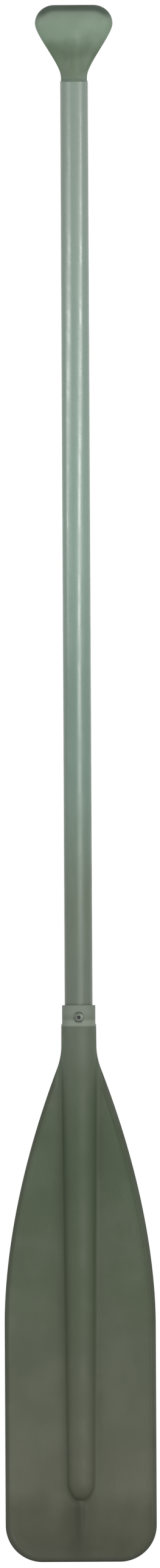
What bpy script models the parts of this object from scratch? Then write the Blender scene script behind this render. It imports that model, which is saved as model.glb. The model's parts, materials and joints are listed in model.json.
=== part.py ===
"""A T-grip canoe paddle: a moulded blade and a moulded grip on a sleeved aluminium tube.

Metres, +Z up. The paddle stands on the tip of its blade at the origin, with its front face towards -Y.
"""

import math

import bmesh
import bpy

# Driving sizes along the paddle

BLADE_LENGTH = 0.497  # tip to where the shoulders leave the socket
SOCKET_LENGTH = 0.048  # shoulders to the socket's mouth
SHAFT_SHOWING = 0.904  # socket's mouth to the foot of the grip
GRIP_HEIGHT = 0.075  # foot of the grip to its flat top

# Driving sizes of the shaft

TUBE_DIAMETER = 0.0254
TUBE_WALL = 0.0012
TUBE_END_RISE = 0.0640  # the tube's lower end, above the tip of the blade's spine
SLEEVE_WALL = 0.0006
PLUG_LENGTH = 0.050
PLUG_CHAMFER = 0.0015

# Driving sizes of the blade

BLADE_WIDTH = 0.1480
CORNER_RADIUS = 0.036
STRAIGHT_TOP = 0.235  # where the parallel sides start to draw in
SHOULDER_POWER = 1.8  # how the sides draw in: 1 is a straight taper
SHOULDER_SINK = 0.0013  # how far inside the spine's wall the shoulders' curve ends
NECK_BLEND = 0.0140  # how far below that end the shoulders start to bend into the socket
WEB_THICKNESS = 0.0038
EDGE_LAND = 0.0020  # the flat band round the very edge
EDGE_ROUNDING = 0.0020
RIM_RISE = 0.0007  # how far the rim bead stands above the web
RIM_WIDTH = 0.0045
RIM_FADE = 0.0025
ROOT_RISE = 0.0030  # how far the web swells where it meets the spine
ROOT_REACH = 0.0038
WEB_SINK = 0.0030  # how far the web has run into the spine before it stops swelling

SPINE_ROOT_WALL = 0.0043  # from the bore out to the spine, where the shoulders end
SPINE_TIP_WALL = 0.0007  # the same at the spine's tip, where it is solid
SPINE_TIP_HEIGHT = 0.0590
SPINE_TIP_LENGTH = 0.0200  # how long the spine's rounded end is
KEEL_RISE = 0.0024  # a low keel from the spine's tip down to the rim
KEEL_REACH = 0.0055  # from its crest to its foot
KEEL_END_HEIGHT = 0.008

SOCKET_WALL = 0.0041  # from the bore out to the socket, just below the collar
COLLAR_WALL = 0.0033  # the same in the slimmer collar at the socket's mouth
COLLAR_LENGTH = 0.0180
COLLAR_CHAMFER = 0.0008
LEDGE_HEIGHT = 0.0012  # the slope from the collar out to the socket

# Driving sizes of the grip

GRIP_WIDTH = 0.076
GRIP_DEPTH = 0.029
GRIP_TOP_WIDTH = 0.038  # the flat on top
GRIP_TOP_DEPTH = 0.010
GRIP_WIDEST_DROP = 0.018  # the widest place, below the top
GRIP_THICKEST_DROP = 0.014
GRIP_WAIST_DEPTH = 0.0165  # the scooped flanks beside the stem
GRIP_WAIST_DROP = 0.045
NECK_DRAW = 0.0003  # how much slimmer than the tube the neck is, on each side
NECK_DROP = 0.072
FOOT_LIP = 0.0005  # how far the foot stands out over the tube's end
WING_HANDLE = 0.012  # how long the sides keep on straight below the widest place
NECK_HANDLE = 0.014  # how long the neck keeps on straight above its narrowest place
STEM_BLEND = 0.0025
GRIP_SQUARENESS = 2.5  # 2 is an ellipse seen from above
SPIGOT_LENGTH = 0.060
SPIGOT_CHAMFER = 0.0012
SPIGOT_GROOVES = 3
GROOVE_WIDTH = 0.0025
GROOVE_DEPTH = 0.0005

# Driving sizes of the rivets

BLADE_RIVET_DROP = 0.0120  # below the socket's mouth
BLADE_RIVET_SHANK = 0.0048
BLADE_RIVET_HEAD = 0.0095
BLADE_RIVET_RISE = 0.0015
BULB_DIAMETER = 0.0072  # the blind end, drawn up inside the tube
BULB_LENGTH = 0.0035
BLADE_PIN = 0.0026  # the drawn pin that stays in the rivet
BLADE_PIN_HEAD = 0.0044
SEAT_DEPTH = 0.0009  # the flat that is sunk in the collar under a rivet's head
SEAT_MARGIN = 0.0010
GRIP_RIVET_DROP = 0.022  # below the foot of the grip
GRIP_RIVET_SHANK = 0.0032
GRIP_RIVET_HEAD = 0.0065
GRIP_RIVET_RISE = 0.0010
GRIP_RIVET_BITE = 0.0060  # how deep it goes into the spigot
GRIP_PIN = 0.0018
GRIP_PIN_HEAD = 0.0030
PIN_HEAD_LENGTH = 0.0012
PIN_SINK = 0.0005  # how far a pin's broken end lies below its rivet's crown
HEAD_RIM_SHARE = 0.35  # how much of a head's rise is its straight rim

# Clearances and fineness

GAP = 0.0003  # between pieces that rest on each other
MERGE = 0.00001
CUT_EXTRA = 0.005  # how far a cutter runs past what it cuts
TURNED_STEPS = 48
RIVET_STEPS = 24
SPINE_END_STEPS = 8
NECK_STEPS = 6
CROWN_STEPS = 8
WING_STEPS = 16
KEEL_RUNGS, TIP_RUNGS, CORNER_RUNGS = 7, 4, 12  # from the middle of the tip round the corner
FOOT_RUNGS, SIDE_RUNGS, SHOULDER_RUNGS = 3, 4, 16  # and up the side
EDGE_SHARES = (0.0, 0.12, 0.4, 1.0)  # rows across the rounded edge
ROOT_SHARES = (3.5, 2.0, 1.1, 0.5, 0.0)  # rows down the swelling beside the spine
DOME_DEGREES = (18, 36, 54, 72, 90)  # points over a rivet's head
SMOOTH_ANGLE = math.radians(35)  # edges sharper than this are shaded sharp

# Places that follow from the sizes

SOCKET_MOUTH = BLADE_LENGTH + SOCKET_LENGTH
GRIP_FOOT = SOCKET_MOUTH + SHAFT_SHOWING
GRIP_TOP = GRIP_FOOT + GRIP_HEIGHT
TUBE_RADIUS = TUBE_DIAMETER / 2
TUBE_INNER_RADIUS = TUBE_RADIUS - TUBE_WALL
SLEEVE_INNER_RADIUS = TUBE_RADIUS + GAP
SLEEVE_RADIUS = SLEEVE_INNER_RADIUS + SLEEVE_WALL
BORE_RADIUS = TUBE_RADIUS + GAP
SPIGOT_RADIUS = TUBE_INNER_RADIUS - GAP
NECK_RADIUS = TUBE_RADIUS - NECK_DRAW
FOOT_RADIUS = TUBE_RADIUS + FOOT_LIP
SPINE_TIP_RADIUS = BORE_RADIUS + SPINE_TIP_WALL
SPINE_ROOT_RADIUS = BORE_RADIUS + SPINE_ROOT_WALL
SPINE_TIP_CENTRE = SPINE_TIP_HEIGHT + SPINE_TIP_LENGTH
SPINE_TIP_STRETCH = SPINE_TIP_LENGTH / SPINE_TIP_RADIUS
TUBE_END = SPINE_TIP_HEIGHT + TUBE_END_RISE
SOCKET_RADIUS = BORE_RADIUS + SOCKET_WALL
COLLAR_RADIUS = BORE_RADIUS + COLLAR_WALL
HALF_WIDTH = BLADE_WIDTH / 2
SHOULDER_END = SPINE_ROOT_RADIUS - SHOULDER_SINK
BLADE_RIVET_HEIGHT = SOCKET_MOUTH - BLADE_RIVET_DROP
GRIP_RIVET_HEIGHT = GRIP_FOOT - GRIP_RIVET_DROP
RIVET_SEAT = COLLAR_RADIUS - SEAT_DEPTH
GRIP_RIVET_END = SPIGOT_RADIUS - GRIP_RIVET_BITE


def clear_scene():
    for obj in list(bpy.data.objects):
        bpy.data.objects.remove(obj, do_unlink=True)


def new_collection(name):
    collection = bpy.data.collections.new(name)
    bpy.context.scene.collection.children.link(collection)
    return collection


clear_scene()
PADDLE = new_collection("t_grip_paddle")
CUTTERS = new_collection("cutters")


def material(name, colour, roughness, metallic=0.0):
    made = bpy.data.materials.new(name)
    made.use_nodes = True
    shader = made.node_tree.nodes["Principled BSDF"]
    shader.inputs["Base Color"].default_value = (*colour, 1.0)
    shader.inputs["Roughness"].default_value = roughness
    shader.inputs["Metallic"].default_value = metallic
    return made


def add_mesh(name, bm, finish=None):
    """Makes an object from a bmesh: a piece when it has a finish, and otherwise a cutter."""
    mesh = bpy.data.meshes.new(name)
    bm.to_mesh(mesh)
    bm.free()
    mesh.shade_smooth()
    mesh.set_sharp_from_angle(angle=SMOOTH_ANGLE)
    obj = bpy.data.objects.new(name, mesh)
    if finish:
        mesh.materials.append(finish)
        PADDLE.objects.link(obj)
    else:
        CUTTERS.objects.link(obj)
        obj.hide_render = True
        obj.display_type = "WIRE"
    return obj


def turned(name, profile, finish=None, closed=False, steps=TURNED_STEPS):
    """Turns (radius, height) points, listed down the outer side, about Z."""
    bm = bmesh.new()
    points = [bm.verts.new((radius, 0, height)) for radius, height in profile]
    for start, end in zip(points, points[1:]):
        bm.edges.new((start, end))
    if closed:
        bm.edges.new((points[-1], points[0]))
    obj = add_mesh(name, bm, finish)
    screw = obj.modifiers.new("Turn", "SCREW")
    screw.axis = "Z"
    screw.steps = steps
    screw.render_steps = steps
    screw.use_merge_vertices = True
    screw.merge_threshold = MERGE
    screw.use_smooth_shade = True
    return obj


def tube(name, outer, inner, low, high, finish):
    profile = [(outer, high), (outer, low), (inner, low), (inner, high)]
    return turned(name, profile, finish, closed=True)


def rod_cutter(name, radius, low, high, steps=TURNED_STEPS):
    """A plain round cutter along Z."""
    return turned(name, [(0, high), (radius, high), (radius, low), (0, low)], steps=steps)


def boolean(obj, tool, operation):
    step = obj.modifiers.new(f"{operation.title()} {tool.name}", "BOOLEAN")
    step.operation = operation
    step.solver = "EXACT"
    step.object = tool


def cut(obj, *tools):
    for tool in tools:
        boolean(obj, tool, "DIFFERENCE")


def join(obj, *tools):
    for tool in tools:
        boolean(obj, tool, "UNION")


def loft(name, rings, finish):
    """Skins closed rings with equal numbers of points, listed from the top down, and caps both ends."""
    bm = bmesh.new()
    loops = [[bm.verts.new(point) for point in ring] for ring in rings]
    for upper, lower in zip(loops, loops[1:]):
        for i, vert in enumerate(upper):
            j = (i + 1) % len(upper)
            bm.faces.new((vert, lower[i], lower[j], upper[j]))
    bm.faces.new(loops[0])
    bm.faces.new(list(reversed(loops[-1])))
    return add_mesh(name, bm, finish)


def bezier(points, t):
    """The place at t, from 0 to 1, on the Bezier curve with these control points, by repeated halving."""
    while len(points) > 1:
        points = [
            tuple(a + (b - a) * t for a, b in zip(start, end))
            for start, end in zip(points, points[1:])
        ]
    return points[0]


def fade(distance, start, length):
    """1 up to start, then an even fall to 0 over length."""
    share = min(max((distance - start) / length, 0.0), 1.0)
    return 1.0 - share * share * (3.0 - 2.0 * share)


# Blade: the outline of its right half, from the middle of the tip up to the socket


def shoulder_width(height):
    """Half the blade's width on the shoulders, which draw in ever faster towards the socket."""
    share = (height - STRAIGHT_TOP) / (BLADE_LENGTH - STRAIGHT_TOP)
    return HALF_WIDTH - (HALF_WIDTH - SHOULDER_END) * share**SHOULDER_POWER


def shoulder_slope(height):
    reach = BLADE_LENGTH - STRAIGHT_TOP
    share = (height - STRAIGHT_TOP) / reach
    return -(HALF_WIDTH - SHOULDER_END) * SHOULDER_POWER * share ** (SHOULDER_POWER - 1) / reach


def spine_radius(height):
    share = (height - SPINE_TIP_CENTRE) / (BLADE_LENGTH - SPINE_TIP_CENTRE)
    return SPINE_TIP_RADIUS + (SPINE_ROOT_RADIUS - SPINE_TIP_RADIUS) * max(share, 0.0)


def steps_between(start, end, count):
    """This many even steps from start, without the end."""
    return [start + (end - start) * i / count for i in range(count)]


def outline():
    """Points of the edge as (place, outward direction, height of the rung's inner end)."""
    flat = HALF_WIDTH - CORNER_RADIUS
    rungs = []
    near_keel = 2 * KEEL_REACH
    for x in steps_between(0.0, near_keel, KEEL_RUNGS) + steps_between(near_keel, flat, TIP_RUNGS):
        rungs.append(((x, 0.0), (0.0, -1.0), SPINE_TIP_CENTRE))
    for degrees in steps_between(-90, 0, CORNER_RUNGS):
        turn = math.radians(degrees)
        out = (math.cos(turn), math.sin(turn))
        place = (flat + CORNER_RADIUS * out[0], CORNER_RADIUS + CORNER_RADIUS * out[1])
        rungs.append((place, out, SPINE_TIP_CENTRE))
    for height in steps_between(CORNER_RADIUS, SPINE_TIP_CENTRE, FOOT_RUNGS):
        rungs.append(((HALF_WIDTH, height), (1.0, 0.0), SPINE_TIP_CENTRE))
    for height in steps_between(SPINE_TIP_CENTRE, STRAIGHT_TOP, SIDE_RUNGS):
        rungs.append(((HALF_WIDTH, height), (1.0, 0.0), height))
    blend_start = BLADE_LENGTH - NECK_BLEND
    for height in steps_between(STRAIGHT_TOP, blend_start, SHOULDER_RUNGS):
        rungs.append((*edge_of_shoulder(height), height))
    rungs.extend(neck_blend(blend_start))
    return rungs


def edge_of_shoulder(height):
    slope = shoulder_slope(height)
    length = math.hypot(1.0, slope)
    return (shoulder_width(height), height), (1.0 / length, -slope / length)


def neck_blend(start):
    """Rungs on the hollow curve that carries the shoulders into the socket's wall."""
    low = (shoulder_width(start), start)
    middle = (SHOULDER_END, start + (low[0] - SHOULDER_END) / -shoulder_slope(start))
    high = (SHOULDER_END, 2 * middle[1] - start)
    rungs = []
    for i in range(NECK_STEPS + 1):
        place = bezier([low, middle, high], i / NECK_STEPS)
        before = bezier([low, middle], i / NECK_STEPS)
        after = bezier([middle, high], i / NECK_STEPS)
        along = (after[0] - before[0], after[1] - before[1])
        length = math.hypot(*along)
        rungs.append((place, (along[1] / length, -along[0] / length), place[1]))
    return rungs


def half_thickness(place, from_edge):
    """Half the web's thickness: rim bead, flat web, swelling along the spine, and keel below it."""
    x, height = place
    past_end = max(0.0, SPINE_TIP_CENTRE - height) / SPINE_TIP_STRETCH
    from_spine = math.hypot(x, past_end) - spine_radius(height)
    thickness = WEB_THICKNESS / 2 + RIM_RISE * fade(from_edge, RIM_WIDTH, RIM_FADE)
    thickness += ROOT_RISE * math.exp(-max(from_spine, 0.0) / ROOT_REACH)
    if height < SPINE_TIP_CENTRE:
        run_out = 1.0 - fade(height, KEEL_END_HEIGHT, SPINE_TIP_HEIGHT - KEEL_END_HEIGHT)
        thickness += KEEL_RISE * fade(x, 0.0, KEEL_REACH) * run_out
    rounding = 1.0 - min(from_edge / EDGE_ROUNDING, 1.0)
    land = EDGE_LAND / 2
    return land + (thickness - land) * math.sqrt(1.0 - rounding * rounding)


def blade_web():
    """The flat of the blade: a grid laid from the edge to the middle line, mirrored both ways."""
    from_edge = [share * EDGE_ROUNDING for share in EDGE_SHARES]
    from_edge += [RIM_WIDTH, RIM_WIDTH + RIM_FADE / 2, RIM_WIDTH + RIM_FADE]
    from_sunk = [WEB_SINK + ROOT_REACH * share for share in ROOT_SHARES]
    from_sunk.append(0.0)
    rungs = outline()
    columns = 1 + len(from_edge) + 1 + len(from_sunk) + 1
    needed = from_edge[-1] + from_sunk[0] + ROOT_REACH

    def rung_points(rung):
        edge, out, inner_height = rung
        centre = (0.0, inner_height)
        aim = (edge[0] - centre[0], edge[1] - centre[1])
        width = math.hypot(*aim)
        aim = (aim[0] / width, aim[1] / width)
        start = spine_radius(inner_height) - WEB_SINK
        squeeze = min(1.0, (width - start) / needed)
        stretch = 1.0 if aim[1] >= 0.0 else 1.0 / math.hypot(aim[0], aim[1] / SPINE_TIP_STRETCH)
        points = [(edge, 0.0)]
        for step in from_edge:
            step *= squeeze
            place = (edge[0] - out[0] * step, edge[1] - out[1] * step)
            points.append((place, half_thickness(place, step)))
        inner = []
        for step in from_sunk:
            reach = (start + step * squeeze) * stretch
            place = (centre[0] + aim[0] * reach, centre[1] + aim[1] * reach)
            inner.append(place)
        last = points[-1][0]
        middle = ((last[0] + inner[0][0]) / 2, (last[1] + inner[0][1]) / 2)
        for place in [middle, *inner, centre]:
            away = math.hypot(place[0] - edge[0], place[1] - edge[1])
            points.append((place, half_thickness(place, away)))
        return points

    ladder = [rung_points(rung) for rung in rungs]
    closing = [((x, height + WEB_THICKNESS), 0.0) for (x, height), _ in ladder[-1]]
    ladder.append(closing)
    bm = bmesh.new()
    bmesh.ops.create_grid(bm, x_segments=columns - 1, y_segments=len(ladder) - 1, size=0.5)
    for vert in bm.verts:
        column = round((vert.co.x + 0.5) * (columns - 1))
        row = round((vert.co.y + 0.5) * (len(ladder) - 1))
        (x, height), thickness = ladder[row][column]
        vert.co = (x, -thickness, height)
    bmesh.ops.remove_doubles(bm, verts=bm.verts, dist=MERGE)
    bmesh.ops.reverse_faces(bm, faces=bm.faces)
    return bm


def spine_end():
    """Points round the spine's end, half an ellipse, from its side down to its tip."""
    points = []
    for i in range(SPINE_END_STEPS):
        turn = math.pi / 2 * i / SPINE_END_STEPS
        height = SPINE_TIP_CENTRE - SPINE_TIP_LENGTH * math.sin(turn)
        points.append((SPINE_TIP_RADIUS * math.cos(turn), height))
    return [*points, (0, SPINE_TIP_HEIGHT)]


def spine_tool():
    """Socket, collar and spine as one turned body."""
    collar_low = SOCKET_MOUTH - COLLAR_LENGTH
    profile = [
        (0, SOCKET_MOUTH),
        (COLLAR_RADIUS - COLLAR_CHAMFER, SOCKET_MOUTH),
        (COLLAR_RADIUS, SOCKET_MOUTH - COLLAR_CHAMFER),
        (COLLAR_RADIUS, collar_low),
        (SOCKET_RADIUS, collar_low - LEDGE_HEIGHT),
        (SPINE_ROOT_RADIUS, BLADE_LENGTH),
    ]
    return turned("spine", profile + spine_end())


def across(obj, height, side):
    """Lays a tool that was turned about Z along Y, pointing out of the front (-1) or the back (1)."""
    obj.rotation_euler = (-side * math.pi / 2, 0, 0)
    obj.location = (0, 0, height)
    return obj


def rivet_rod(name, radius, start, end, height, side):
    """A plain round tool across the paddle, from start to end away from its middle line."""
    return across(rod_cutter(name, radius, start, end, RIVET_STEPS), height, side)


def rivet_seat(name, side):
    """A hole through the collar for the rivet's shank, with a flat sunk round it for the head."""
    hole = BLADE_RIVET_SHANK / 2 + GAP
    seat = BLADE_RIVET_HEAD / 2 + SEAT_MARGIN
    outside = COLLAR_RADIUS + CUT_EXTRA
    profile = [(0, outside), (seat, outside), (seat, RIVET_SEAT), (hole, RIVET_SEAT)]
    profile += [(hole, TUBE_INNER_RADIUS), (0, TUBE_INNER_RADIUS)]
    return across(turned(name, profile, steps=RIVET_STEPS), BLADE_RIVET_HEIGHT, side)


def blade(finish):
    obj = add_mesh("blade", blade_web(), finish)
    mirror = obj.modifiers.new("Both ways", "MIRROR")
    mirror.use_axis = (True, True, False)
    mirror.merge_threshold = MERGE
    join(obj, spine_tool())
    cut(obj, rod_cutter("bore", BORE_RADIUS, TUBE_END - GAP, SOCKET_MOUTH + CUT_EXTRA))
    cut(obj, rivet_seat("front_seat", -1), rivet_seat("back_seat", 1))


def shaft(tube_finish, sleeve_finish):
    top = GRIP_FOOT - GAP
    pipe = tube("shaft_tube", TUBE_RADIUS, TUBE_INNER_RADIUS, TUBE_END, top, tube_finish)
    sleeve_low = SOCKET_MOUTH + GAP
    sleeve = tube(
        "shaft_sleeve", SLEEVE_RADIUS, SLEEVE_INNER_RADIUS, sleeve_low, top, sleeve_finish
    )
    inside = TUBE_INNER_RADIUS - CUT_EXTRA
    outside = SLEEVE_RADIUS + CUT_EXTRA
    blade_shank = BLADE_RIVET_SHANK / 2 + GAP
    for side, word in ((-1, "front"), (1, "back")):
        hole = (f"{word}_tube_hole", blade_shank, inside, outside)
        cut(pipe, rivet_rod(*hole, BLADE_RIVET_HEIGHT, side))
    grip_shank = GRIP_RIVET_SHANK / 2 + GAP
    grip_hole = rivet_rod("grip_hole", grip_shank, inside, outside, GRIP_RIVET_HEIGHT, 1)
    cut(pipe, grip_hole)
    cut(sleeve, grip_hole)


def plug(name, low, finish):
    """A foam plug that fills the tube's bore, with its rims eased."""
    bpy.ops.mesh.primitive_cylinder_add(
        vertices=TURNED_STEPS,
        radius=TUBE_INNER_RADIUS - GAP,
        depth=PLUG_LENGTH,
        location=(0, 0, low + PLUG_LENGTH / 2),
    )
    obj = bpy.context.object
    obj.name = name
    obj.data.name = name
    for holder in list(obj.users_collection):
        holder.objects.unlink(obj)
    PADDLE.objects.link(obj)
    obj.data.materials.append(finish)
    obj.data.shade_smooth()
    obj.data.set_sharp_from_angle(angle=SMOOTH_ANGLE)
    ease = obj.modifiers.new("Eased rims", "BEVEL")
    ease.width = PLUG_CHAMFER
    ease.segments = 1
    ease.limit_method = "ANGLE"


def plugs(finish):
    plug("lower_plug", TUBE_END, finish)
    plug("upper_plug", GRIP_FOOT - SPIGOT_LENGTH - GAP - PLUG_LENGTH, finish)


# Grip: rings from the flat top down to the end of the spigot


def quarter_ellipse(drop, full_drop, small, large):
    """From small at drop 0 to large at full_drop, round like a quarter of an ellipse."""
    left = 1.0 - min(drop / full_drop, 1.0)
    return small + (large - small) * math.sqrt(1.0 - left * left)


def wing_curve(t):
    """(half width, drop) from the widest place down to the neck."""
    wide = GRIP_WIDTH / 2
    points = [
        (wide, GRIP_WIDEST_DROP),
        (wide, GRIP_WIDEST_DROP + WING_HANDLE),
        (NECK_RADIUS, NECK_DROP - NECK_HANDLE),
        (NECK_RADIUS, NECK_DROP),
    ]
    return bezier(points, t)


def web_depth(drop):
    """Half the depth of the wings: thick under the palm, scooped beside the stem."""
    thick = GRIP_DEPTH / 2
    waist = GRIP_WAIST_DEPTH / 2
    if drop <= GRIP_THICKEST_DROP:
        return quarter_ellipse(drop, GRIP_THICKEST_DROP, GRIP_TOP_DEPTH / 2, thick)
    return waist + (thick - waist) * fade(drop, GRIP_THICKEST_DROP, GRIP_WAIST_DROP - GRIP_THICKEST_DROP)


def soft_larger(a, b, blend):
    """The larger of two lengths, with a soft change-over."""
    near = max(blend - abs(a - b), 0.0) / blend
    return max(a, b) + near * near * blend / 4


def grip_ring(half_width, drop, stem):
    """A section of the grip: flat wings of this half width, softly joined to a round stem."""
    depth = min(web_depth(drop), half_width)
    ring = []
    for i in range(TURNED_STEPS):
        turn = 2 * math.pi * i / TURNED_STEPS
        turn = math.atan2(depth * math.sin(turn), half_width * math.cos(turn))
        x_share = abs(math.cos(turn)) / half_width
        y_share = abs(math.sin(turn)) / depth
        wing = (x_share**GRIP_SQUARENESS + y_share**GRIP_SQUARENESS) ** (-1 / GRIP_SQUARENESS)
        reach = soft_larger(wing, stem, STEM_BLEND) if stem else wing
        ring.append((reach * math.cos(turn), reach * math.sin(turn), GRIP_TOP - drop))
    return ring


def round_ring(radius, height):
    ring = []
    for i in range(TURNED_STEPS):
        turn = 2 * math.pi * i / TURNED_STEPS
        ring.append((radius * math.cos(turn), radius * math.sin(turn), height))
    return ring


def spigot_rings():
    rings = [round_ring(SPIGOT_RADIUS, GRIP_FOOT)]
    pitch = SPIGOT_LENGTH / (SPIGOT_GROOVES + 1)
    half = GROOVE_WIDTH / 2
    floor = SPIGOT_RADIUS - GROOVE_DEPTH
    for i in range(SPIGOT_GROOVES):
        middle = GRIP_FOOT - pitch * (i + 1)
        rings.append(round_ring(SPIGOT_RADIUS, middle + half))
        rings.append(round_ring(floor, middle + half - GROOVE_DEPTH))
        rings.append(round_ring(floor, middle - half + GROOVE_DEPTH))
        rings.append(round_ring(SPIGOT_RADIUS, middle - half))
    end = GRIP_FOOT - SPIGOT_LENGTH
    rings.append(round_ring(SPIGOT_RADIUS, end + SPIGOT_CHAMFER))
    rings.append(round_ring(SPIGOT_RADIUS - SPIGOT_CHAMFER, end))
    return rings


def grip(finish):
    rings = []
    stem = NECK_RADIUS - STEM_BLEND / 4
    for i in range(CROWN_STEPS):
        drop = GRIP_WIDEST_DROP * (1.0 - math.cos(math.pi / 2 * i / CROWN_STEPS))
        wide = quarter_ellipse(drop, GRIP_WIDEST_DROP, GRIP_TOP_WIDTH / 2, GRIP_WIDTH / 2)
        rings.append(grip_ring(wide, drop, 0))
    for i in range(WING_STEPS + 1):
        wide, drop = wing_curve(i / WING_STEPS)
        rings.append(grip_ring(wide, drop, stem))
    flare = GRIP_HEIGHT - NECK_DROP
    rings.append(round_ring((NECK_RADIUS + FOOT_RADIUS) / 2, GRIP_FOOT + flare / 3))
    rings.append(round_ring(FOOT_RADIUS, GRIP_FOOT + FOOT_LIP))
    rings.append(round_ring(FOOT_RADIUS, GRIP_FOOT))
    obj = loft("grip", rings + spigot_rings(), finish)
    hole = GRIP_RIVET_SHANK / 2 + GAP
    deep = GRIP_RIVET_END - PIN_HEAD_LENGTH - 2 * GAP
    outside = SPIGOT_RADIUS + CUT_EXTRA
    cut(obj, rivet_rod("spigot_hole", hole, deep, outside, GRIP_RIVET_HEIGHT, 1))


# Rivets: turned about Z with the head up, then laid along Y


def head_profile(radius, bore, under, rise):
    """A domed head above the height under, from the mouth of its bore out and down its rim."""
    rim = rise * HEAD_RIM_SHARE
    points = [(bore, under + rise)]
    for degrees in DOME_DEGREES:
        turn = math.radians(degrees)
        reach = bore + (radius - bore) * math.sin(turn)
        points.append((reach, under + rim + (rise - rim) * math.cos(turn)))
    points.append((radius, under))
    return points


def pin(name, radius, head, top, rivet_end, height, side, finish):
    """The drawn pin of a blind rivet: its broken end under the crown, its head past the blind end."""
    seat = rivet_end - GAP
    low = seat - PIN_HEAD_LENGTH
    profile = [(0, top), (radius, top), (radius, seat), (head, seat), (head, low), (0, low)]
    across(turned(name, profile, finish, steps=RIVET_STEPS), height, side)


def blade_rivet(name, side, finish, pin_finish):
    """A blind rivet that clamps collar and tube: head, shank and the bulb inside the tube."""
    shank = BLADE_RIVET_SHANK / 2
    bulb = BULB_DIAMETER / 2
    swell = bulb - shank
    bore = BLADE_PIN / 2 + GAP
    under = RIVET_SEAT + GAP
    bulb_top = math.sqrt(TUBE_INNER_RADIUS**2 - bulb**2) - GAP
    bulb_end = bulb_top - BULB_LENGTH
    profile = head_profile(BLADE_RIVET_HEAD / 2, bore, under, BLADE_RIVET_RISE)
    profile += [(shank, under), (shank, bulb_top), (bulb, bulb_top - swell)]
    profile += [(bulb, bulb_end + swell), (shank, bulb_end), (bore, bulb_end)]
    body = turned(name, profile, finish, closed=True, steps=RIVET_STEPS)
    across(body, BLADE_RIVET_HEIGHT, side)
    top = under + BLADE_RIVET_RISE - PIN_SINK
    place = (top, bulb_end, BLADE_RIVET_HEIGHT, side)
    pin(f"{name}_pin", BLADE_PIN / 2, BLADE_PIN_HEAD / 2, *place, pin_finish)


def grip_rivet(finish, pin_finish):
    """A small blind rivet whose head is drawn down round the sleeve."""
    radius = GRIP_RIVET_HEAD / 2
    bore = GRIP_PIN / 2 + GAP
    saddle = SLEEVE_RADIUS + GAP
    under = math.sqrt(saddle**2 - radius**2) - GAP
    crown = saddle + GRIP_RIVET_RISE
    profile = [(0, crown), *head_profile(radius, bore, under, crown - under), (0, under)]
    body = across(turned("grip_rivet", profile, finish, steps=RIVET_STEPS), GRIP_RIVET_HEIGHT, 1)
    low = GRIP_RIVET_HEIGHT - radius - CUT_EXTRA
    high = GRIP_RIVET_HEIGHT + radius + CUT_EXTRA
    cut(body, rod_cutter("saddle", saddle, low, high))
    shank = (GRIP_RIVET_SHANK / 2, GRIP_RIVET_END, saddle + GAP)
    join(body, rivet_rod("grip_rivet_shank", *shank, GRIP_RIVET_HEIGHT, 1))
    through = (bore, GRIP_RIVET_END - CUT_EXTRA, crown + CUT_EXTRA)
    cut(body, rivet_rod("grip_rivet_bore", *through, GRIP_RIVET_HEIGHT, 1))
    place = (crown - PIN_SINK, GRIP_RIVET_END, GRIP_RIVET_HEIGHT, 1)
    pin("grip_rivet_pin", GRIP_PIN / 2, GRIP_PIN_HEAD / 2, *place, pin_finish)


def main():
    olive = material("blade_plastic", (0.105, 0.125, 0.080), 0.50)
    sage = material("grip_plastic", (0.190, 0.260, 0.195), 0.45)
    vinyl = material("sleeve_vinyl", (0.330, 0.400, 0.345), 0.38)
    metal = material("tube_aluminium", (0.780, 0.780, 0.790), 0.30, metallic=1.0)
    foam = material("plug_foam", (0.820, 0.820, 0.800), 0.90)
    rivet = material("rivet_aluminium", (0.550, 0.560, 0.550), 0.40, metallic=1.0)
    steel = material("pin_steel", (0.420, 0.420, 0.430), 0.35, metallic=1.0)
    blade(olive)
    shaft(metal, vinyl)
    plugs(foam)
    grip(sage)
    blade_rivet("blade_rivet_front", -1, rivet, steel)
    blade_rivet("blade_rivet_back", 1, rivet, steel)
    grip_rivet(rivet, steel)


main()
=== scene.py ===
# %% [markdown]
# # A canoe paddle with a T-grip
#
# The paddle has three big pieces: a moulded plastic blade, an aluminium tube in a thin vinyl sleeve, and a
# moulded grip with a flat top for the palm. The CAD model holds their sizes and places. This lesson keeps
# them all, models the pieces that show once more with finer shapes, and gives every piece a finish that is
# built from nodes. It starts with the CAD model, because everything else is placed by it.

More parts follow.
